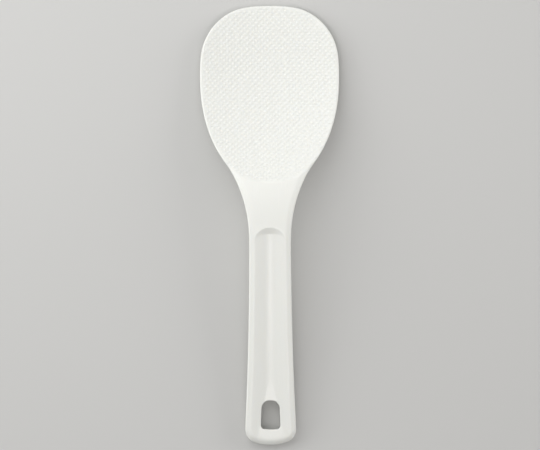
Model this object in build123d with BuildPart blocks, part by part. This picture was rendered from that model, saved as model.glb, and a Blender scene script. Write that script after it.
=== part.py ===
from build123d import *
import os
from math import acos, atan, cos, hypot, radians, sqrt, tan

# One-piece moulded rice paddle. X runs across it, Y along it with the blade at +Y, Z up.
# It lies on its back: the scooped face of the blade and the groove of the handle look up.
# The origin is on the surface it lies on, under the middle of its length. Lengths are in
# millimetres and angles in degrees.

# Plan outline: full widths, and distances from the tip of the blade or the end of the handle
overall_length = 205.0
blade_width = 64.8
widest_from_tip = 29.8
waist_width = 19.4
waist_from_tip = 115.6
heel_width = 23.6
heel_from_end = 8.2

# Rounded head of the blade, from its tip to its widest place, as shares of half the blade's
# width and of that length
head_shares = [(0.235, 0.011), (0.440, 0.051), (0.651, 0.164), (0.811, 0.327), (0.962, 0.645)]
# Narrowing neck, as shares of what lies between the widest place and the waist
neck_shares = [(0.950, 0.212), (0.565, 0.478), (0.389, 0.546), (0.272, 0.603), (0.020, 0.839)]
# Handle, as shares of what lies between the waist and the heel
grip_shares = [(0.244, 0.443), (0.806, 0.870)]
# Rounded end, from the heel on, as shares of half the heel's width and of its length
end_shares = [(0.979, 0.365), (0.837, 0.685), (0.568, 0.881)]

# Blade: a scoop bent along its length and dished across it
blade_thickness = 2.2
scoop_radius = 124.0
scoop_from_tip = 20.5
scoop_turn = 48.0
dish_radius = 140.0
blade_edge_radius = 0.9
back_edge_radius = 0.8

# Top of the neck and handle, seen from the side
crest_from_tip = 93.6
crest_height = 22.2
crest_radius = 70.0
neck_slope = 16.0
dip_from_tip = 71.9
dip_radius = 12.0
dip_rise = 16.0
crown_radius = 400.0
end_thickness = 6.0
rim_radius = 2.2

# Underside, seen from the side
back_thickening = 3.0
back_run = 5.0
back_crest_drop = 5.8
back_crest_radius = 28.0
rest_from_end = 14.0
rest_radius = 80.0

# Groove along the handle
ridge_land = 0.2
groove_depth = 1.9
groove_valley_radius = 11.0
groove_from_tip = 103.2
groove_wall_slope = 24.0
runout_from_end = 31.3
runout_length = 48.0

# Hole to hang it by
hole_length = 13.5
hole_top_width = 8.2
hole_bottom_width = 9.2
hole_from_end = 7.3
hole_bow = 0.35
hole_top_bow = 0.5
hole_top_radius = 3.2
hole_bottom_radius = 1.5

# How far the cutting tools reach past what they cut, and half of the turn of the turned ones
overrun = 10.0
half_turn = 25.0

half_length = overall_length / 2
half_blade = blade_width / 2
half_waist = waist_width / 2
half_heel = heel_width / 2


def from_tip(distance):
    """Y of a place measured back from the tip of the blade."""
    return half_length - distance


def shared_edges(some_faces, other_faces):
    """Edges along which one of some faces meets one of the others."""
    borders = other_faces.edges()
    return some_faces.edges().filter_by(lambda edge: any(edge.is_same(border) for border in borders))


# One side of the outline, from the tip round to the end of the handle, and its mirror image
widest_y = from_tip(widest_from_tip)
waist_y = from_tip(waist_from_tip)
heel_y = heel_from_end - half_length
neck_spread = half_blade - half_waist
grip_spread = half_heel - half_waist
grip_side = [
    (half_waist + grip_spread * x, waist_y + (heel_y - waist_y) * y) for x, y in grip_shares
]
side = [
    *[(half_blade * x, half_length - widest_from_tip * y) for x, y in head_shares],
    (half_blade, widest_y),
    *[(half_waist + neck_spread * x, widest_y + (waist_y - widest_y) * y) for x, y in neck_shares],
    (half_waist, waist_y),
    *grip_side,
    (half_heel, heel_y),
    *[(half_heel * x, heel_y - heel_from_end * y) for x, y in end_shares],
]
other_side = [(-x, y) for x, y in reversed(side)]

# Corners of the top line of neck and handle, which its arcs round off
far_tip = half_length + overrun
far_end = -far_tip
top_end = Vector(-half_length, end_thickness)
crest = Vector(from_tip(crest_from_tip), crest_height)
neck_drop = (crest_from_tip - dip_from_tip) * tan(radians(neck_slope))
dip = Vector(from_tip(dip_from_tip), crest_height - neck_drop)
handle_slope = (crest.Y - top_end.Y) / (crest.X - top_end.X)
top_tip = Vector(far_tip, dip.Y + (far_tip - dip.X) * tan(radians(dip_rise)))
ceiling = top_tip.Y + overrun


def handle_top(y):
    """Height of the straight top line of the handle at a place along it."""
    return top_end.Y + (y - top_end.X) * handle_slope


# Corners of the line of the underside. It follows the scoop on a longer radius, so that the
# blade thickens towards the neck, and climbs to its own crest as steeply as the neck's height
# needs, with a short straight run between the two arcs.
scoop_y = from_tip(scoop_from_tip)
back_scoop_radius = scoop_radius + blade_thickness + back_thickening
back_crest_z = crest_height - back_crest_drop
back_reach = back_run + back_crest_radius * tan(radians(neck_slope))
back_lean = acos((back_scoop_radius - back_crest_z) / hypot(back_scoop_radius, back_reach))
back_slope = back_lean - atan(back_reach / back_scoop_radius)
back_scoop = Vector(scoop_y - back_scoop_radius * tan(back_slope / 2), 0)
back_crest = Vector(back_scoop.X - back_crest_z / tan(back_slope), back_crest_z)
back_rest = Vector(rest_from_end - half_length, 0)

# The scoop and the underside are turned about an axis above, the crowned top about one below
crown_z = crest_height - crown_radius
dish_axis = Axis((0, 0, blade_thickness + dish_radius), (0, 1, 0))
crown_axis = Axis((0, 0, crown_z), (0, 1, 0))

# Everything under the crowned top of neck and handle
with BuildPart() as top_form:
    with BuildSketch(Plane.YZ):
        with BuildLine():
            top_line = FilletPolyline(
                (far_end, handle_top(far_end)),
                crest,
                dip,
                top_tip,
                radius=[crest_radius, dip_radius],
            )
            Polyline(top_line @ 1, (far_tip, -overrun), (far_end, -overrun), top_line @ 0)
        make_face()
    revolve(axis=crown_axis, revolution_arc=2 * half_turn)

# Everything over the dished underside
with BuildPart() as underside_form:
    with BuildSketch(Plane.YZ):
        with BuildLine():
            under_line = FilletPolyline(
                (far_tip, 0),
                back_scoop,
                back_crest,
                back_rest,
                (far_end, 0),
                radius=[back_scoop_radius, back_crest_radius, rest_radius],
            )
            Polyline(under_line @ 1, (far_end, ceiling), (far_tip, ceiling), under_line @ 0)
        make_face()
    revolve(axis=dish_axis, revolution_arc=2 * half_turn)

# What the blade's face is hollowed out with: level at the tip, then bent up towards the neck
with BuildPart() as scoop:
    with BuildSketch(Plane.YZ):
        with BuildLine():
            level = Line((far_tip, blade_thickness), (scoop_y, blade_thickness))
            bend = JernArc(start=level @ 1, tangent=level % 1, radius=scoop_radius, arc_size=-scoop_turn)
            scoop_end = bend @ 1
            scoop_top = scoop_end.Y + overrun
            Polyline(scoop_end, (scoop_end.X, scoop_top), (far_tip, scoop_top), level @ 0)
        make_face()
    revolve(axis=dish_axis, revolution_arc=2 * half_turn)

# Groove: a V with a rounded valley, whose ridges keep the same distance from the outline
ridge_inset = rim_radius + ridge_land
groove_half = half_waist - ridge_inset


def ridge_top(half_width, y):
    """Height of the crowned top at a ridge, a distance out from the middle of the handle."""
    return crown_z + sqrt((handle_top(y) - crown_z) ** 2 - half_width**2)


groove_stations = [
    (half_waist, half_length),
    (half_waist, waist_y),
    *grip_side,
    (half_heel, heel_y),
    (half_heel, far_end),
]
with BuildPart() as groove:
    for half_width, y in groove_stations:
        ridge_x = half_width - ridge_inset
        valley_z = ridge_top(ridge_x, y) - groove_depth
        lip_z = handle_top(y) + overrun
        lip_x = ridge_x * (lip_z - valley_z) / groove_depth
        with BuildSketch(Plane.XZ.offset(-y)):
            with BuildLine():
                valley = FilletPolyline(
                    (-lip_x, lip_z), (0, valley_z), (lip_x, lip_z), radius=groove_valley_radius
                )
                Line(valley @ 1, valley @ 0)
            make_face()
    loft(ruled=True)

# Its upper end is an arch: a cone square to the top of the handle, open towards the handle
arch_y = from_tip(groove_from_tip) - groove_half
arch_run = groove_depth / tan(radians(groove_wall_slope))
arch_plane = Plane(
    (0, arch_y, ridge_top(groove_half, arch_y)), x_dir=(1, 0, 0), z_dir=(0, -handle_slope, 1)
)
with BuildPart(arch_plane.offset(-groove_depth)) as groove_arch:
    Cone(
        bottom_radius=groove_half - arch_run,
        top_radius=groove_half + arch_run,
        height=2 * groove_depth,
        align=(Align.CENTER, Align.CENTER, Align.MIN),
    )
    Box(
        blade_width,
        overall_length,
        groove_depth + overrun,
        align=(Align.CENTER, Align.MAX, Align.MIN),
    )

# Its lower end runs out along a flat plane that rises slowly from the valley towards the top of
# the handle and reaches its rounded end first
runout_y = runout_from_end - half_length
runout_end_y = runout_y - runout_length
heel_ridge_x = half_heel - ridge_inset
wall_angle = atan(groove_depth / heel_ridge_x)
valley_rise = groove_valley_radius * (1 / cos(wall_angle) - 1)
runout_low = Vector(0, runout_y, ridge_top(heel_ridge_x, runout_y) - groove_depth + valley_rise)
runout_high = Vector(0, runout_end_y, handle_top(runout_end_y))
runout_plane = Plane(
    runout_low, x_dir=(1, 0, 0), z_dir=(runout_high - runout_low).cross(Vector(1, 0, 0))
)
with BuildPart() as groove_cut:
    add(groove.part)
    add(groove_arch.part, mode=Mode.INTERSECT)
    split(bisect_by=runout_plane, keep=Keep.TOP)

with BuildPart() as paddle:
    # Body between top and underside, with its long edges rounded
    with BuildSketch(Plane.XY.offset(-overrun)):
        with BuildLine():
            Spline((0, half_length), *side, (0, -half_length), *other_side, periodic=True)
        make_face()
    extrude(amount=overrun + ceiling)
    add(top_form.part.rotate(crown_axis, -half_turn), mode=Mode.INTERSECT)
    wall = faces().filter_by(GeomType.EXTRUSION)
    tops = faces().filter_by(lambda face: face.normal_at().Z > 0)
    fillet(shared_edges(wall, tops), rim_radius)
    add(underside_form.part.rotate(dish_axis, -half_turn), mode=Mode.INTERSECT)
    wall = faces().filter_by(GeomType.EXTRUSION)
    bottoms = faces().filter_by(lambda face: face.normal_at().Z < 0) - wall
    fillet(shared_edges(wall, bottoms), back_edge_radius)

    # Scooped face of the blade, whose back end leaves a crisp arc on the neck
    add(scoop.part.rotate(dish_axis, -half_turn), mode=Mode.SUBTRACT)
    wall = faces().filter_by(GeomType.EXTRUSION)
    dish = faces(Select.LAST).filter_by(lambda face: face.normal_at().Z > 0)
    fillet(shared_edges(wall, dish), blade_edge_radius)

    add(groove_cut.part, mode=Mode.SUBTRACT)

    # Hole to hang it by, near the end of the handle
    hole_end_y = hole_from_end - half_length
    hole_heel = Vector(hole_bottom_width / 2, hole_end_y + hole_bow)
    hole_shoulder = Vector(hole_top_width / 2, hole_end_y + hole_length - hole_top_bow)
    with BuildSketch(Plane.XY):
        with BuildLine():
            left_side = Line((-hole_heel.X, hole_heel.Y), (-hole_shoulder.X, hole_shoulder.Y))
            right_side = Line(hole_shoulder, hole_heel)
            ThreePointArc(left_side @ 1, (0, hole_end_y + hole_length), right_side @ 0)
            ThreePointArc(right_side @ 1, (0, hole_end_y), left_side @ 0)
        make_face()
        corners = vertices().group_by(Axis.Y)
        fillet(corners[-1], hole_top_radius)
        fillet(corners[0], hole_bottom_radius)
    extrude(amount=ceiling, mode=Mode.SUBTRACT)

paddle.part.label = "paddle"

os.makedirs("parts", exist_ok=True)
export_step(paddle.part, "parts/paddle.step")
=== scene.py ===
import bpy
from math import acos, atan, ceil, cos, hypot, pi, radians, sin, tan

import numpy as np
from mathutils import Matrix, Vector
from mathutils.geometry import delaunay_2d_cdt


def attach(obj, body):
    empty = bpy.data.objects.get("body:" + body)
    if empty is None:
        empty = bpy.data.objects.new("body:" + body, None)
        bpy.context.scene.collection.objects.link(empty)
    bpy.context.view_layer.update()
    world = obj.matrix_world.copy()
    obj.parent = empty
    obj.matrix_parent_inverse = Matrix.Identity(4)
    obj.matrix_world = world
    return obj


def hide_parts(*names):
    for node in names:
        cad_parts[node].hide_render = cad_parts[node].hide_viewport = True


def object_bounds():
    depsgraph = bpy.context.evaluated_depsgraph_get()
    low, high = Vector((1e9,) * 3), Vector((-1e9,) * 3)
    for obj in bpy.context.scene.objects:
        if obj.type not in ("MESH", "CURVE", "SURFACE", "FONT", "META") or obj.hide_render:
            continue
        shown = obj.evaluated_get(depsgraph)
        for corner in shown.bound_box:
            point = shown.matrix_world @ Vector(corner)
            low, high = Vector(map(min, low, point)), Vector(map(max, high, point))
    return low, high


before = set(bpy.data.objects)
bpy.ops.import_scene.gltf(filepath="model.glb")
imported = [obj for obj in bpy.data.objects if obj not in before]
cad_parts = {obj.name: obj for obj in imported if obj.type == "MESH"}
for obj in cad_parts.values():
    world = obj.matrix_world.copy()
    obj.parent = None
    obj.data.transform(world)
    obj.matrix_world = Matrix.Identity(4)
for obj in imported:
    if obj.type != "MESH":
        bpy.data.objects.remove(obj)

cadLow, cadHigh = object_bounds()
mm = 0.001  # sizes below are in millimetres, Blender's are in metres


def toLinear(hexCode):
    channels = [int(hexCode[i:i + 2], 16) / 255 for i in (1, 3, 5)]
    return [c / 12.92 if c <= 0.04045 else ((c + 0.055) / 1.055) ** 2.4 for c in channels] + [1]


def addNode(tree, kind, settings=None, inputs=None):
    # adds a node; an input is a value, a socket or a node, which stands for its first output
    node = tree.nodes.new(kind)
    for name, value in (settings or {}).items():
        setattr(node, name, value)
    for name, value in (inputs or {}).items():
        if isinstance(value, bpy.types.Node):
            value = value.outputs[0]
        if isinstance(value, bpy.types.NodeSocket):
            tree.links.new(value, node.inputs[name])
        else:
            node.inputs[name].default_value = value
    return node


def newMaterial(name):
    # an empty material, its nodes and the place that its patterns are measured from
    material = bpy.data.materials.new(name)
    material.use_nodes = True
    tree = material.node_tree
    tree.nodes.clear()
    return material, tree, addNode(tree, "ShaderNodeTexCoord").outputs["Object"]


# White polypropylene, injection moulded in a lightly textured tool: a soft sheen broken up by fine
# orange peel, a milky edge where light gets in, and faint streaks where it has been rubbed
polypropylene = {
    "colour": "#EEEFEA", "rubbedColour": "#E6E6DF",
    "ior": 1.49, "roughness": 0.25, "rubbedRoughness": 0.36,
    "peelGrain": 0.45,  # mm, coarser than the tool's own grain so that it shows
    "peelHeight": 0.006, "peelStrength": 0.35, "peelNoise": {"Detail": 2.0, "Roughness": 0.5},
    "blotch": 14.0, "blotchNoise": {"Detail": 3.0, "Roughness": 0.55},
    "streakWidth": 0.5, "streakLength": 22.0, "streakTurn": 24.0,
    "streakNoise": {"Scale": 1.0, "Detail": 2.0, "Roughness": 0.6},
    "streakLimits": {"From Min": 0.56, "From Max": 0.74},
    "glow": 0.12, "glowReach": 1.5, "glowTint": (1.0, 0.9, 0.75),
}


def makePolypropylene():
    look = polypropylene
    material, tree, place = newMaterial("mouldedPolypropylene")
    peel = addNode(tree, "ShaderNodeTexNoise", None, {
        "Vector": place, "Scale": 1 / (look["peelGrain"] * mm), **look["peelNoise"]})
    blotch = addNode(tree, "ShaderNodeTexNoise", None, {
        "Vector": place, "Scale": 1 / (look["blotch"] * mm), **look["blotchNoise"]})
    streakSizes = (look["streakWidth"], look["streakLength"], look["blotch"])
    stretch = addNode(tree, "ShaderNodeMapping", None, {
        "Vector": place, "Rotation": (0, 0, radians(look["streakTurn"])),
        "Scale": [1 / (size * mm) for size in streakSizes]})
    streak = addNode(tree, "ShaderNodeTexNoise", None, {"Vector": stretch, **look["streakNoise"]})
    rubbed = addNode(tree, "ShaderNodeMapRange", None, {"Value": streak, **look["streakLimits"]})
    worn = addNode(tree, "ShaderNodeMath", {"operation": "MULTIPLY"}, {0: rubbed, 1: blotch})
    # the colours of a Mix node are its inputs 6 and 7 and its output 2
    colour = addNode(tree, "ShaderNodeMix", {"data_type": "RGBA"}, {
        0: worn, 6: toLinear(look["colour"]), 7: toLinear(look["rubbedColour"])})
    roughness = addNode(tree, "ShaderNodeMapRange", None, {
        "Value": worn, "To Min": look["roughness"], "To Max": look["rubbedRoughness"]})
    bump = addNode(tree, "ShaderNodeBump", None, {
        "Height": peel, "Strength": look["peelStrength"], "Distance": look["peelHeight"] * mm})
    shader = addNode(tree, "ShaderNodeBsdfPrincipled", None, {
        "Base Color": colour.outputs[2], "Roughness": roughness, "Normal": bump, "IOR": look["ior"],
        "Subsurface Weight": look["glow"], "Subsurface Scale": look["glowReach"] * mm,
        "Subsurface Radius": look["glowTint"]})
    addNode(tree, "ShaderNodeOutputMaterial", None, {"Surface": shader})
    return material


# Plain pale grey paper under the paddle, matt, with a faint tooth
paper = {
    "colour": "#CCCCCA", "roughness": 0.9,
    "tooth": 0.7143,  # mm, coarser than real paper's so that it shows
    "toothHeight": 0.02, "toothStrength": 0.1, "toothDetail": 3.0,
}


def makePaper():
    material, tree, place = newMaterial("paleGreyPaper")
    tooth = addNode(tree, "ShaderNodeTexNoise", None, {
        "Vector": place, "Scale": 1 / (paper["tooth"] * mm), "Detail": paper["toothDetail"]})
    bump = addNode(tree, "ShaderNodeBump", None, {
        "Height": tooth, "Strength": paper["toothStrength"], "Distance": paper["toothHeight"] * mm})
    shader = addNode(tree, "ShaderNodeBsdfPrincipled", None, {
        "Base Color": toLinear(paper["colour"]), "Roughness": paper["roughness"], "Normal": bump})
    addNode(tree, "ShaderNodeOutputMaterial", None, {"Surface": shader})
    return material


# Sizes of the paddle in mm and degrees, the solid's own wherever it has them. A pair of shares
# places a point of the outline: how far out, how far along
paddle = {
    "length": 205.0, "bladeWidth": 64.8, "widestFromTip": 29.8,
    "waistWidth": 19.4, "waistFromTip": 115.6, "heelWidth": 23.6, "heelFromEnd": 8.2,
    "headShares": [(0.235, 0.011), (0.440, 0.051), (0.651, 0.164), (0.811, 0.327), (0.962, 0.645)],
    "neckShares": [(0.950, 0.212), (0.565, 0.478), (0.389, 0.546), (0.272, 0.603), (0.020, 0.839)],
    "gripShares": [(0.244, 0.443), (0.806, 0.870)],
    "endShares": [(0.979, 0.365), (0.837, 0.685), (0.568, 0.881)],
    # blade, with a scoop that follows its circle up to a share of the radius
    "bladeThickness": 2.2, "bladeEdge": 0.9, "backEdge": 0.8, "dishRadius": 140.0,
    "scoopRadius": 124.0, "scoopFromTip": 20.5, "scoopReachShare": 0.9,
    # top of neck and handle, with a slanting band along both edges and a fully rounded end
    "crestFromTip": 93.6, "crestHeight": 22.2, "crestRadius": 70.0, "neckSlope": 16.0,
    "dipFromTip": 71.9, "dipRadius": 12.0, "dipRise": 16.0, "crownRadius": 400.0,
    "endThickness": 6.0, "rimRadius": 2.2, "bandSlant": 15.0, "bandEdge": 0.7,
    "endRadius": 3.0, "endRounded": 3.5, "endBlend": 4.0,
    # back
    "backThickening": 3.0, "backRun": 5.0, "backCrestDrop": 5.8, "backCrestRadius": 28.0,
    "restFromEnd": 14.0, "restRadius": 80.0,
    # groove
    "ridgeLand": 0.2, "grooveDepth": 1.9, "grooveValleyRadius": 11.0, "grooveFromTip": 103.2,
    "grooveWallSlope": 24.0, "runoutFromEnd": 31.3, "runoutLength": 48.0,
    # hanging hole
    "holeLength": 13.5, "holeTopWidth": 8.2, "holeBottomWidth": 9.2, "holeFromEnd": 7.3,
    "holeBow": 0.35, "holeTopBow": 0.5, "holeTopRadius": 3.2, "holeBottomRadius": 1.5,
    "holeEdge": 0.35,
    # how far lines run past the ends, and how much height a crease takes to turn over
    "overrun": 10.0, "softCrease": 0.07,
    # the mesh: steps along its lines and for measuring slopes, rings along rim and mouth, the room
    # that its other points leave to the rim and the mouth, and how far apart they stay
    "outlineStep": 0.8, "fineOutlineStep": 0.2, "mouthStep": 0.4, "gridStep": 0.9,
    "creaseStep": 0.35, "slopeStep": 0.007,
    "rimRings": [0, 0.03, 0.09, 0.18, 0.3, 0.45, 0.62, 0.8, 0.95, 1.25, 1.6, 1.95, 2.25],
    "mouthRings": [0, 0.05, 0.12, 0.2, 0.28, 0.36, 0.6],
    "creaseRoom": 0.1, "besideRoom": 0.2, "gridRoom": 2.4, "mouthRoom": 0.7,
    "creaseApart": 0.15, "gridApart": 0.54,
}
halfLength = paddle["length"] / 2
halfBlade = paddle["bladeWidth"] / 2
halfWaist = paddle["waistWidth"] / 2
halfHeel = paddle["heelWidth"] / 2
farEnd = halfLength + paddle["overrun"]
farBelow = -1000.0  # height of a face where it plays no part


def fromTip(distance):
    return halfLength - distance


def fromEnd(distance):
    return distance - halfLength


def filletedLine(corners, radii):
    # height over y of a line through corners, each inner one rounded off by its radius
    arcs = []
    for before, corner, after, radius in zip(corners, corners[1:], corners[2:], radii):
        into = atan((corner[1] - before[1]) / (corner[0] - before[0]))
        out = atan((after[1] - corner[1]) / (after[0] - corner[0]))
        reach = radius * tan(abs(out - into) / 2)
        side = 1 if out > into else -1
        start = corner[0] - reach * cos(into)
        stop = corner[0] + reach * cos(out)
        centreY = start - side * radius * sin(into)
        centreZ = corner[1] - reach * sin(into) + side * radius * cos(into)
        arcs.append((start, stop, side, radius, centreY, centreZ))

    def height(y):
        z = np.interp(y, [c[0] for c in corners], [c[1] for c in corners])
        for start, stop, side, radius, centreY, centreZ in arcs:
            arc = centreZ - side * np.sqrt(np.maximum(radius ** 2 - (y - centreY) ** 2, 0))
            z = np.where((y > start) & (y < stop), arc, z)
        return z
    return height


def closedSpline(points, spacing):
    # a smooth closed curve through the points, sampled about every spacing
    knots = np.array(points, float)
    chords = np.hypot(*(np.roll(knots, -1, axis=0) - knots).T)
    count = len(knots)
    system = np.zeros((count, count))
    target = np.zeros((count, 2))
    for i in range(count):
        after = (i + 1) % count
        system[i, i - 1] += chords[i - 1]
        system[i, i] += 2 * (chords[i - 1] + chords[i])
        system[i, after] += chords[i]
        turn = (knots[after] - knots[i]) / chords[i] - (knots[i] - knots[i - 1]) / chords[i - 1]
        target[i] = 6 * turn
    bend = np.linalg.solve(system, target)
    samples = []
    for i in range(count):
        after = (i + 1) % count
        run = chords[i]
        for step in range(ceil(run / spacing)):
            t = run * step / ceil(run / spacing)
            samples.append(
                (bend[i] * (run - t) ** 3 + bend[after] * t ** 3) / (6 * run)
                + (knots[i] / run - bend[i] * run / 6) * (run - t)
                + (knots[after] / run - bend[after] * run / 6) * t)
    return np.array(samples)


def inwardNormals(loop):
    # unit normals that point into a loop drawn clockwise
    along = np.roll(loop, -1, axis=0) - np.roll(loop, 1, axis=0)
    along /= np.hypot(*along.T)[:, None]
    return np.stack([along[:, 1], -along[:, 0]], axis=1)


def softMin(a, b):
    # the lower of two heights, eased where they cross
    turn = paddle["softCrease"]
    overlap = np.maximum(turn - np.abs(a - b), 0) / turn
    return np.minimum(a, b) - overlap ** 2 * turn / 4


def softMax(a, b):
    return -softMin(-a, -b)


# Plan outline, clockwise from the tip
widestY, waistY = fromTip(paddle["widestFromTip"]), fromTip(paddle["waistFromTip"])
heelY = fromEnd(paddle["heelFromEnd"])
gripSide = [(halfWaist + (halfHeel - halfWaist) * x, waistY + (heelY - waistY) * y)
            for x, y in paddle["gripShares"]]
rightSide = (
    [(halfBlade * x, halfLength - paddle["widestFromTip"] * y) for x, y in paddle["headShares"]]
    + [(halfBlade, widestY)]
    + [(halfWaist + (halfBlade - halfWaist) * x, widestY + (waistY - widestY) * y)
       for x, y in paddle["neckShares"]]
    + [(halfWaist, waistY)] + gripSide + [(halfHeel, heelY)]
    + [(halfHeel * x, heelY - paddle["heelFromEnd"] * y) for x, y in paddle["endShares"]])
leftSide = [(-x, y) for x, y in reversed(rightSide)]
outlineKnots = [(0, halfLength)] + rightSide + [(0, -halfLength)] + leftSide

# Side lines of the top and the back
topEnd = (-halfLength, paddle["endThickness"])
crest = (fromTip(paddle["crestFromTip"]), paddle["crestHeight"])
neckDrop = (paddle["crestFromTip"] - paddle["dipFromTip"]) * tan(radians(paddle["neckSlope"]))
dip = (fromTip(paddle["dipFromTip"]), crest[1] - neckDrop)
handleSlope = (crest[1] - topEnd[1]) / (crest[0] - topEnd[0])


def handleTop(y):
    return topEnd[1] + (y - topEnd[0]) * handleSlope


topLine = filletedLine(
    [(-farEnd, handleTop(-farEnd)), crest, dip,
     (farEnd, dip[1] + (farEnd - dip[0]) * tan(radians(paddle["dipRise"])))],
    [paddle["crestRadius"], paddle["dipRadius"]])
scoopY = fromTip(paddle["scoopFromTip"])
backRadius = paddle["scoopRadius"] + paddle["bladeThickness"] + paddle["backThickening"]
backCrestZ = paddle["crestHeight"] - paddle["backCrestDrop"]
backReach = paddle["backRun"] + paddle["backCrestRadius"] * tan(radians(paddle["neckSlope"]))
backSlope = (acos((backRadius - backCrestZ) / hypot(backRadius, backReach))
             - atan(backReach / backRadius))
backScoopY = scoopY - backRadius * tan(backSlope / 2)
backLine = filletedLine(
    [(-farEnd, 0), (fromEnd(paddle["restFromEnd"]), 0),
     (backScoopY - backCrestZ / tan(backSlope), backCrestZ), (backScoopY, 0), (farEnd, 0)],
    [paddle["restRadius"], paddle["backCrestRadius"], backRadius])
dishAxisZ = paddle["bladeThickness"] + paddle["dishRadius"]
crownAxisZ = paddle["crestHeight"] - paddle["crownRadius"]


def dished(x, z):
    return dishAxisZ - np.sqrt((dishAxisZ - z) ** 2 - x ** 2)


def crowned(x, z):
    return crownAxisZ + np.sqrt((z - crownAxisZ) ** 2 - x ** 2)


def edgeDrop(inset, radius):
    # how far a rounded edge falls away at a distance in from the wall
    left = np.clip(radius - inset, 0, radius)
    return radius - np.sqrt(radius ** 2 - left ** 2)


def bladeFace(x, y, inset):
    radius = paddle["scoopRadius"]
    down = np.clip(scoopY - y, 0, radius * paddle["scoopReachShare"])
    scoop = paddle["bladeThickness"] + radius - np.sqrt(radius ** 2 - down ** 2)
    return dished(x, scoop) - edgeDrop(inset, paddle["bladeEdge"])


def rimDrop(y, inset):
    # a slanting band runs along both sides and turns into a full rounding at the end
    band = paddle["rimRadius"] + paddle["ridgeLand"] - inset
    slant = softMax(band * tan(radians(paddle["bandSlant"])), 0)
    sides = slant + edgeDrop(inset, paddle["bandEdge"])
    fromBlend = fromEnd(paddle["endRounded"] + paddle["endBlend"]) - y
    share = np.clip(fromBlend / paddle["endBlend"], 0, 1)
    eased = share ** 2 * (3 - 2 * share)
    return sides * (1 - eased) + edgeDrop(inset, paddle["endRadius"]) * eased


def neckFace(x, y):
    return crowned(x, topLine(y))


def ridgeDrop(half, y):
    # how much lower the crowned top is at a ridge than on the axis
    return handleTop(y) - crowned(half, handleTop(y))


# Stations of the groove: its ridges follow the handle's sides, an arch closes its upper end, and
# from a place near the hole a flat rises towards the end
ridgeInset = paddle["rimRadius"] + paddle["ridgeLand"]
stationY = [-farEnd, heelY, gripSide[1][1], gripSide[0][1], waistY, halfLength]
stationHalf = [halfHeel, halfHeel, gripSide[1][0], gripSide[0][0], halfWaist, halfWaist]
archHalf = halfWaist - ridgeInset
archY = fromTip(paddle["grooveFromTip"]) - archHalf
archZ = handleTop(archY) - ridgeDrop(archHalf, archY)
archRounds = 4
runoutHalf = halfHeel - ridgeInset
runoutY = fromEnd(paddle["runoutFromEnd"])
runoutLean = atan(paddle["grooveDepth"] / runoutHalf)
runoutZ = (handleTop(runoutY) - ridgeDrop(runoutHalf, runoutY) - paddle["grooveDepth"]
           + paddle["grooveValleyRadius"] * (1 / cos(runoutLean) - 1))
runoutRise = handleTop(runoutY - paddle["runoutLength"]) - runoutZ


def grooveParts(x, y):
    # the V along the handle, its arched upper end and the flat run-out at its lower end
    depth, valley = paddle["grooveDepth"], paddle["grooveValleyRadius"]
    half = np.interp(y, stationY, stationHalf) - ridgeInset
    floor = handleTop(y) - ridgeDrop(half, y) - depth
    lean = np.arctan(depth / half)
    rounded = valley / np.cos(lean) - np.sqrt(np.maximum(valley ** 2 - x ** 2, 0))
    vee = floor + np.where(np.abs(x) < valley * np.sin(lean), rounded, np.abs(x) * depth / half)
    # the arch is a cone square to the sloping handle, whose height settles in a few rounds
    leaning = hypot(1, handleSlope)
    wall = tan(radians(paddle["grooveWallSlope"]))
    z = level = archZ + handleSlope * (y - archY)
    for turn in range(archRounds):
        along = ((y - archY) + handleSlope * (z - archZ)) / leaning
        z = level + (np.hypot(x, along) - archHalf) * wall * leaning
    arch = np.where(along > 0, z, farBelow)
    runout = runoutZ + runoutRise * (runoutY - y) / paddle["runoutLength"]
    return vee, arch, runout


def grooveFace(x, y):
    vee, arch, runout = grooveParts(x, y)
    return softMax(softMax(vee, arch), runout)


def topFace(x, y, inset):
    neck = softMin(neckFace(x, y), grooveFace(x, y)) - rimDrop(y, inset)
    return softMin(neck, bladeFace(x, y, inset))


def backFace(x, y, inset):
    return dished(x, backLine(y)) + edgeDrop(inset, paddle["backEdge"])


# Heights between two faces, which are nought along the crease where they meet
def scoopGap(x, y):
    return neckFace(x, y) - bladeFace(x, y, paddle["bladeEdge"])


def grooveGap(x, y):
    return neckFace(x, y) - grooveFace(x, y)


def archGap(x, y):
    vee, arch, runout = grooveParts(x, y)
    return vee - arch


def runoutGap(x, y):
    vee, arch, runout = grooveParts(x, y)
    return vee - runout


def gradient(gap, x, y):
    # how fast a gap widens along x and along y
    step = paddle["slopeStep"]
    alongX = gap(x + step, y) - gap(x - step, y)
    alongY = gap(x, y + step) - gap(x, y - step)
    return np.stack([alongX, alongY], axis=1) / (2 * step)


def roundedCorner(before, here, after, radius, spacing):
    # points along the arc that rounds off a corner
    back, on = (before - here).normalized(), (after - here).normalized()
    half = back.angle(on) / 2
    reach = radius / tan(half)
    centre = here + (back + on).normalized() * radius / sin(half)
    start, stop = here + back * reach - centre, here + on * reach - centre
    turn = start.angle(stop)
    fewest = 6  # steps along a small arc
    steps = max(fewest, ceil(radius * turn / spacing))
    shares = [step / steps for step in range(steps + 1)]
    return [centre + (start * sin((1 - share) * turn) + stop * sin(share * turn)) / sin(turn)
            for share in shares]


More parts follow.
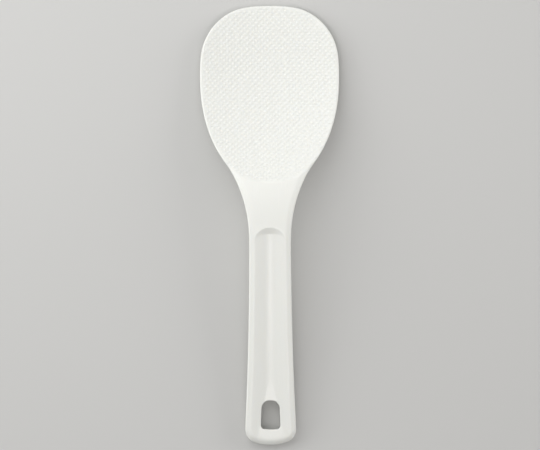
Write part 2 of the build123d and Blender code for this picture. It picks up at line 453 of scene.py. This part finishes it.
def holeLoop(spacing):
    # a rounded trapezium with bowed ends, drawn anticlockwise so that its rings grow outwards
    lowX, lowY = paddle["holeBottomWidth"] / 2, fromEnd(paddle["holeFromEnd"]) + paddle["holeBow"]
    highX = paddle["holeTopWidth"] / 2
    highY = fromEnd(paddle["holeFromEnd"] + paddle["holeLength"]) - paddle["holeTopBow"]
    corners = [Vector(place) for place in
               ((lowX, lowY), (highX, highY), (-highX, highY), (-lowX, lowY))]
    radii = [paddle["holeBottomRadius"], paddle["holeTopRadius"],
             paddle["holeTopRadius"], paddle["holeBottomRadius"]]
    arcs = [roundedCorner(before, here, after, radius, spacing) for before, here, after, radius
            in zip(corners[-1:] + corners, corners, corners[1:] + corners, radii)]
    loop = []
    for arc, nextArc in zip(arcs, arcs[1:] + arcs):
        steps = ceil((nextArc[0] - arc[-1]).length / spacing)
        loop += arc + [arc[-1].lerp(nextArc[0], step / steps) for step in range(1, steps)]
    x, y = np.array([tuple(point) for point in loop]).T
    upper = y > (lowY + highY) / 2
    bow = np.where(upper, paddle["holeTopBow"], -paddle["holeBow"])
    bowed = y + bow * np.maximum(1 - (x / np.where(upper, highX, lowX)) ** 2, 0)
    return np.stack([x, bowed], axis=1)


class Loop:
    # a closed line with normals into the material, to measure distances in from it
    def __init__(self, points):
        self.points = points
        self.normals = inwardNormals(points)

    def inset(self, points):
        atOnce = 400  # points that are measured in one go, to spare memory
        distances = []
        for some in np.array_split(points, len(points) // atOnce + 1):
            offsets = some[:, None] - self.points
            nearest = (offsets ** 2).sum(axis=2).argmin(axis=1)
            offset = some - self.points[nearest]
            distances.append((offset * self.normals[nearest]).sum(axis=1))
        return np.concatenate(distances)

    def rings(self, insets):
        return np.concatenate([self.points + self.normals * inset for inset in insets])


def creasePoints(gap, low, high):
    # where two faces cross, with points beside the line that keep it crisp
    step = paddle["creaseStep"]
    halvings = 16
    gridX, gridY = np.meshgrid(np.arange(low[0], high[0], step), np.arange(low[1], high[1], step))
    value = gap(gridX, gridY)
    found = []
    for dx, dy, here, there in ((step, 0, np.s_[:, :-1], np.s_[:, 1:]),
                                (0, step, np.s_[:-1, :], np.s_[1:, :])):
        crossed = value[here] * value[there] < 0
        x, y = gridX[here][crossed], gridY[here][crossed]
        start, stop = np.zeros(len(x)), np.ones(len(x))
        sign = value[here][crossed]
        for turn in range(halvings):
            middle = (start + stop) / 2
            same = gap(x + dx * middle, y + dy * middle) * sign > 0
            start, stop = np.where(same, middle, start), np.where(same, stop, middle)
        found.append(np.stack([x + dx * start, y + dy * start], axis=1))
    line = np.concatenate(found)
    across = gradient(gap, *line.T)
    across /= np.hypot(*across.T)[:, None]
    return line, np.concatenate([line + across * step / 2, line - across * step / 2])


def thinned(groups):
    # keeps the points of earlier groups and drops later ones that crowd them
    cell = 1.0  # mm, wider than any group's points stay apart
    kept, taken = [], {}
    for points, apart in groups:
        for x, y in points:
            column, row = int(x // cell), int(y // cell)
            near = [point for i in (-1, 0, 1) for j in (-1, 0, 1)
                    for point in taken.get((column + i, row + j), ())]
            if all((x - u) ** 2 + (y - v) ** 2 > apart ** 2 for u, v in near):
                taken.setdefault((column, row), []).append((x, y))
                kept.append((x, y))
    return kept


def evenGrid():
    # a grid of nearly equal triangles over the plan
    step = paddle["gridStep"]
    rowShare = 0.87  # height of such a triangle
    gridX, gridY = np.meshgrid(np.arange(-halfBlade, halfBlade, step),
                               np.arange(-halfLength, halfLength, step * rowShare))
    gridX = gridX + (np.arange(len(gridX)) % 2)[:, None] * step / 2
    return np.stack([gridX.ravel(), gridY.ravel()], axis=1)


def planPoints(outline, hole):
    # rings along the rounded edges, lines along the creases, and an even grid between
    creases = [creasePoints(gap, low, high) for gap, low, high in (
        (scoopGap, (-halfBlade, -halfWaist), (halfBlade, widestY)),
        (grooveGap, (-halfWaist, heelY), (halfWaist, archY + halfWaist)),
        (archGap, (-halfWaist, archY), (halfWaist, archY + halfWaist)),
        (runoutGap, (-halfHeel, heelY), (halfHeel, runoutY + halfHeel)))]
    lines, besides = (np.concatenate(points) for points in zip(*creases))
    rings = np.concatenate([outline.rings(paddle["rimRings"]), hole.rings(paddle["mouthRings"])])
    groups = [(rings, 0)]
    for points, room, apart in ((lines, paddle["creaseRoom"], paddle["creaseApart"]),
                                (besides, paddle["besideRoom"], paddle["creaseApart"]),
                                (evenGrid(), paddle["gridRoom"], paddle["gridApart"])):
        clear = outline.inset(points) > room
        clear &= hole.inset(points) > min(room, paddle["mouthRoom"])
        groups.append((points[clear], apart))
    return thinned(groups)


def planTriangles(outline, hole):
    # the plan as triangles that all turn anticlockwise, and the edges of rim and mouth
    edges = []
    for loop, first in ((outline, 0), (hole, len(outline.points) * len(paddle["rimRings"]))):
        count = len(loop.points)
        edges += [(first + i, first + (i + 1) % count) for i in range(count)]
    points = [Vector(point) for point in planPoints(outline, hole)]
    merging = 1e-6  # mm, points that are closer become one
    result = delaunay_2d_cdt(points, edges, [], 0, merging)
    places, faces, origins = result[0], result[2], result[3]
    plan = np.array([tuple(place) for place in places])
    triangles = np.array([face for face in faces if len(face) == 3])
    moved = {old: new for new, olds in enumerate(origins) for old in olds}
    middles = plan[triangles].mean(axis=1)
    triangles = triangles[(outline.inset(middles) > 0) & (hole.inset(middles) > 0)]
    corners = plan[triangles]
    turned = np.cross(corners[:, 1] - corners[:, 0], corners[:, 2] - corners[:, 0]) < 0
    triangles[turned] = triangles[turned][:, ::-1]
    return plan, triangles, [(moved[a], moved[b]) for a, b in edges]


def newObject(name, points, faces, material):
    # a smooth mesh that stays within the solid's box
    mesh = bpy.data.meshes.new(name)
    inside = np.clip(np.array(points) * mm, np.array(cadLow), np.array(cadHigh))
    mesh.from_pydata(inside.tolist(), [], faces)
    mesh.shade_smooth()
    mesh.materials.append(material)
    body = bpy.data.objects.new(name, mesh)
    bpy.context.scene.collection.objects.link(body)
    return body


def buildPaddle(material):
    # the body, and what the bumps need: top points, triangles of the blade, and the room around
    # each point to the rim and to the upper end of the scoop
    outline = Loop(closedSpline(outlineKnots, paddle["outlineStep"]))
    fineOutline = Loop(closedSpline(outlineKnots, paddle["fineOutlineStep"]))
    hole = Loop(holeLoop(paddle["mouthStep"]))
    plan, triangles, edges = planTriangles(outline, hole)
    x, y = plan.T
    inset = np.maximum(fineOutline.inset(plan), 0)
    mouthDrop = edgeDrop(np.maximum(hole.inset(plan), 0), paddle["holeEdge"])
    top = np.stack([x, y, topFace(x, y, inset) - mouthDrop], axis=1)
    back = np.stack([x, y, backFace(x, y, inset) + mouthDrop], axis=1)
    count = len(plan)
    walls = [[b, a, a + count, b + count] for a, b in edges]
    faces = triangles.tolist() + (triangles[:, ::-1] + count).tolist() + walls
    body = newObject("mouldedPaddle", np.concatenate([top, back]), faces, material)
    print("paddle", len(body.data.vertices), "points", len(body.data.polygons), "faces")
    gentlest = 0.05  # keeps the room finite where neck and scoop run alike
    steepness = np.maximum(np.hypot(*gradient(scoopGap, x, y).T), gentlest)
    room = np.stack([inset, scoopGap(x, y) / steepness, 0 * x], axis=1)
    blade = triangles[y[triangles].min(axis=1) > crest[0]]
    return body, top, blade, room


# Low round bumps all over the scooped face, in staggered rows that follow its bend. They keep the
# rice from sticking and give the fine pattern of light dots. Whole numbers are counts, others mm
bumps = {
    "Columns": 30, "Rows": 80, "Level Rows": 16, "Corners": 12, "Rings": 4,
    "Across": 2.71, "Row": 1.35, "First Across": 0.845, "First Row": -0.272,
    "Bend Radius": 106.0, "Bend Start": 82.0,
    "Bump Radius": 1.0, "Bump Height": 0.23, "Sunk": 0.01,
    "Edge Margin": 1.1, "Arc Margin": 0.75,
}

# The sums of the tree in their order: what each gives, how, and from what. They place each bump,
# say whether it has room, and shape it as half a cosine wave
bumpSums = {
    "count": ("MULTIPLY", "Columns", "Rows"),
    "column": ("MODULO", "index", "Columns"),
    "rowsPassed": ("DIVIDE", "index", "Columns"),
    "row": ("FLOOR", "rowsPassed"),
    "odd": ("MODULO", "row", 2),
    "staggered": ("MULTIPLY_ADD", "odd", 0.5, "column"),
    "middle": ("MULTIPLY", "Columns", 0.5),
    "fromMiddle": ("SUBTRACT", "staggered", "middle"),
    "x": ("MULTIPLY_ADD", "fromMiddle", "Across", "First Across"),
    "rowFromBend": ("SUBTRACT", "row", "Level Rows"),
    "run": ("MULTIPLY_ADD", "rowFromBend", "Row", "First Row"),
    "levelRun": ("MINIMUM", "run", 0),
    "bentRun": ("MAXIMUM", "run", 0),
    "bend": ("DIVIDE", "bentRun", "Bend Radius"),
    "sine": ("SINE", "bend"),
    "reach": ("MULTIPLY_ADD", "sine", "Bend Radius", "levelRun"),
    "y": ("SUBTRACT", "Bend Start", "reach"),
    "edgeSpare": ("SUBTRACT", "edgeRoom", "Edge Margin"),
    "arcSpare": ("SUBTRACT", "arcRoom", "Arc Margin"),
    "spare": ("MINIMUM", "edgeSpare", "arcSpare"),
    "allowed": ("GREATER_THAN", "spare", 0),
    "shareOut": ("DIVIDE", "out", "Bump Radius"),
    "angle": ("MULTIPLY", "shareOut", pi),
    "wave": ("COSINE", "angle"),
    "rise": ("MULTIPLY_ADD", "wave", 0.5, 0.5),
    "height": ("MULTIPLY", "rise", "Bump Height"),
    "lift": ("SUBTRACT", "height", "Sunk"),
}


def bumpTree(material):
    # a raised dot wherever a row has room for one, draped over the carrier's faces
    tree = bpy.data.node_groups.new("bumpRows", "GeometryNodeTree")
    panel = tree.interface
    panel.new_socket("Geometry", in_out="OUTPUT", socket_type="NodeSocketGeometry")
    panel.new_socket("Geometry", in_out="INPUT", socket_type="NodeSocketGeometry")
    sockets = {}
    for name, value in bumps.items():
        kind = "NodeSocketInt" if isinstance(value, int) else "NodeSocketFloat"
        sockets[name] = panel.new_socket(name, in_out="INPUT", socket_type=kind).identifier
    given = addNode(tree, "NodeGroupInput").outputs

    # a ray straight down finds the face under any point, and the room there
    rayHeight = 0.1  # metres, well above the paddle
    position = addNode(tree, "GeometryNodeInputPosition")
    room = addNode(tree, "GeometryNodeInputNamedAttribute", {"data_type": "FLOAT_VECTOR"}, {
        "Name": "room"})
    flat = addNode(tree, "ShaderNodeVectorMath", {"operation": "MULTIPLY"}, {
        0: position, 1: (1, 1, 0)})
    above = addNode(tree, "ShaderNodeVectorMath", {"operation": "ADD"}, {
        0: flat, 1: (0, 0, rayHeight)})
    under = addNode(tree, "GeometryNodeRaycast", {"data_type": "FLOAT_VECTOR"}, {
        "Target Geometry": given["Geometry"], "Attribute": room, "Source Position": above,
        "Ray Direction": (0, 0, -1), "Ray Length": 2 * rayHeight}).outputs
    rooms = addNode(tree, "ShaderNodeSeparateXYZ", None, {0: under["Attribute"]}).outputs
    out = addNode(tree, "ShaderNodeVectorMath", {"operation": "LENGTH"}, {0: flat}).outputs["Value"]

    known = {name: given[name] for name in bumps}
    known.update({"index": addNode(tree, "GeometryNodeInputIndex"), "out": out,
                  "edgeRoom": rooms["X"], "arcRoom": rooms["Y"]})
    for name, (operation, *terms) in bumpSums.items():
        known[name] = addNode(tree, "ShaderNodeMath", {"operation": operation}, {
            place: known.get(term, term) for place, term in enumerate(terms)})

    line = addNode(tree, "GeometryNodeMeshLine", None, {"Count": known["count"]})
    spot = addNode(tree, "ShaderNodeCombineXYZ", None, {"X": known["x"], "Y": known["y"]})
    spots = addNode(tree, "GeometryNodeSetPosition", None, {"Geometry": line, "Position": spot})
    # one bump is a flat disc of rings that knows how far each point will be lifted
    cone = addNode(tree, "GeometryNodeMeshCone", {"fill_type": "NONE"}, {
        "Vertices": given["Corners"], "Side Segments": given["Rings"],
        "Radius Top": 0.0, "Radius Bottom": given["Bump Radius"]})
    disc = addNode(tree, "GeometryNodeSetPosition", None, {"Geometry": cone, "Position": flat})
    bump = addNode(tree, "GeometryNodeStoreNamedAttribute", {"data_type": "FLOAT", "domain": "POINT"}, {
        "Geometry": disc, "Name": "lift", "Value": known["lift"]})
    facing = addNode(tree, "FunctionNodeAlignRotationToVector", {"axis": "Z"}, {
        "Vector": under["Hit Normal"]})
    placed = addNode(tree, "GeometryNodeInstanceOnPoints", None, {
        "Points": spots, "Instance": bump, "Selection": known["allowed"], "Rotation": facing})
    real = addNode(tree, "GeometryNodeRealizeInstances", None, {"Geometry": placed})
    # then each point stands on the face right under it
    lift = addNode(tree, "GeometryNodeInputNamedAttribute", {"data_type": "FLOAT"}, {"Name": "lift"})
    stand = addNode(tree, "ShaderNodeVectorMath", {"operation": "MULTIPLY_ADD"}, {
        0: under["Hit Normal"], 1: lift, 2: under["Hit Position"]})
    draped = addNode(tree, "GeometryNodeSetPosition", None, {"Geometry": real, "Position": stand})
    smooth = addNode(tree, "GeometryNodeSetShadeSmooth", None, {"Geometry": draped})
    coated = addNode(tree, "GeometryNodeSetMaterial", None, {
        "Geometry": smooth, "Material": material})
    addNode(tree, "NodeGroupOutput", None, {"Geometry": coated})
    return tree, sockets


def buildBumps(points, blade, room, material):
    used, faces = np.unique(blade, return_inverse=True)
    carrier = newObject("bumps", points[used], faces.reshape(-1, 3).tolist(), material)
    attribute = carrier.data.attributes.new("room", "FLOAT_VECTOR", "POINT")
    attribute.data.foreach_set("vector", (room[used] * mm).ravel())
    tree, sockets = bumpTree(material)
    modifier = carrier.modifiers.new("bumpRows", "NODES")
    modifier.node_group = tree
    for name, value in bumps.items():
        modifier[sockets[name]] = value if isinstance(value, int) else value * mm
    evaluated = carrier.evaluated_get(bpy.context.evaluated_depsgraph_get())
    plain = bpy.data.meshes.new_from_object(evaluated)
    carrier.modifiers.remove(modifier)
    carrier.data = plain
    print("bumps", len(plain.vertices), "points", len(plain.polygons), "faces")
    return carrier


# Softboxes all round, nearest and brightest on the left behind the tip, faintly warm ones on the
# right and at the heel, and a little light from everywhere
studio = {
    # where each softbox stands: degrees from straight up, degrees round from the right side,
    # metres away; degrees that it spans seen from the paddle, about how bright it alone makes a
    # white card that faces it, and its colour
    "softboxes": {
        "head": (12, 90, 0.4, 50, 0.05, "#FFFFFF"),
        "head left": (35, 130, 0.5, 34, 0.1, "#FFFFFF"),
        "head left wide": (45, 135, 0.45, 75, 0.265, "#FFFFFF"),
        "head low": (70, 90, 0.6, 36, 0.11, "#FFFFFF"),
        "left low": (60, 142, 0.6, 40, 0.16, "#FFFFFF"),
        "left": (70, 178, 1.0, 36, 0.27, "#FFFFFF"),
        "right": (70, 18, 0.75, 36, 0.34, "#FFFDFC"),
        "heel": (25, 270, 1.2, 34, 0.14, "#FFFBF9"),
        "heel spot": (20.5, 270, 0.4, 12, 0.042, "#FFFBF9"),
    },
    "surroundingLight": 0.325,
    "floorReach": 3.0, "viewHeight": 3.0, "viewReach": 50.0,  # metres
    "viewWidth": 252.3, "viewX": 0.0, "viewY": 0.14, "viewTurn": -0.19,  # mm and degrees
}


def layFloor():
    mesh = bpy.data.meshes.new("paperFloor")
    corners = [(-1, -1), (1, -1), (1, 1), (-1, 1)]
    mesh.from_pydata([(x * studio["floorReach"], y * studio["floorReach"], 0) for x, y in corners],
                     [], [(0, 1, 2, 3)])
    mesh.materials.append(makePaper())
    floor = bpy.data.objects.new("paperFloor", mesh)
    bpy.context.scene.collection.objects.link(floor)


def setLights():
    for name, (zenith, azimuth, distance, spread, bright, colour) in studio["softboxes"].items():
        lamp = bpy.data.lights.new(name + " softbox", "AREA")
        lamp.shape = "SQUARE"
        lamp.size = 2 * distance * tan(radians(spread / 2))
        lamp.energy = bright * (pi * distance) ** 2
        lamp.color = toLinear(colour)[:3]
        softbox = bpy.data.objects.new(name + " softbox", lamp)
        lean, around = radians(zenith), radians(azimuth)
        direction = Vector((sin(lean) * cos(around), sin(lean) * sin(around), cos(lean)))
        softbox.location = direction * distance
        softbox.rotation_euler = (-direction).to_track_quat("-Z", "Y").to_euler()
        softbox.visible_camera = False
        bpy.context.scene.collection.objects.link(softbox)
    world = bpy.data.worlds.new("studio")
    world.use_nodes = True
    background = world.node_tree.nodes["Background"]
    background.inputs["Color"].default_value = (1, 1, 1, 1)
    background.inputs["Strength"].default_value = studio["surroundingLight"]
    bpy.context.scene.world = world


def placeCamera():
    lens = bpy.data.cameras.new("camera")
    lens.lens = lens.sensor_width * studio["viewHeight"] / (studio["viewWidth"] * mm)
    lens.clip_end = studio["viewReach"]
    camera = bpy.data.objects.new("camera", lens)
    camera.location = (studio["viewX"] * mm, studio["viewY"] * mm, studio["viewHeight"])
    camera.rotation_euler = (0, 0, radians(studio["viewTurn"]))
    bpy.context.scene.collection.objects.link(camera)
    bpy.context.scene.camera = camera
    bpy.context.scene.view_settings.view_transform = "Standard"


plastic = makePolypropylene()
paddleBody, topPoints, bladeTriangles, bladeRoom = buildPaddle(plastic)
bumpField = buildBumps(topPoints, bladeTriangles, bladeRoom, plastic)
for piece in (paddleBody, bumpField):
    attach(piece, "root")
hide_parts("paddle")

layFloor()
setLights()
placeCamera()
print("studio ready")
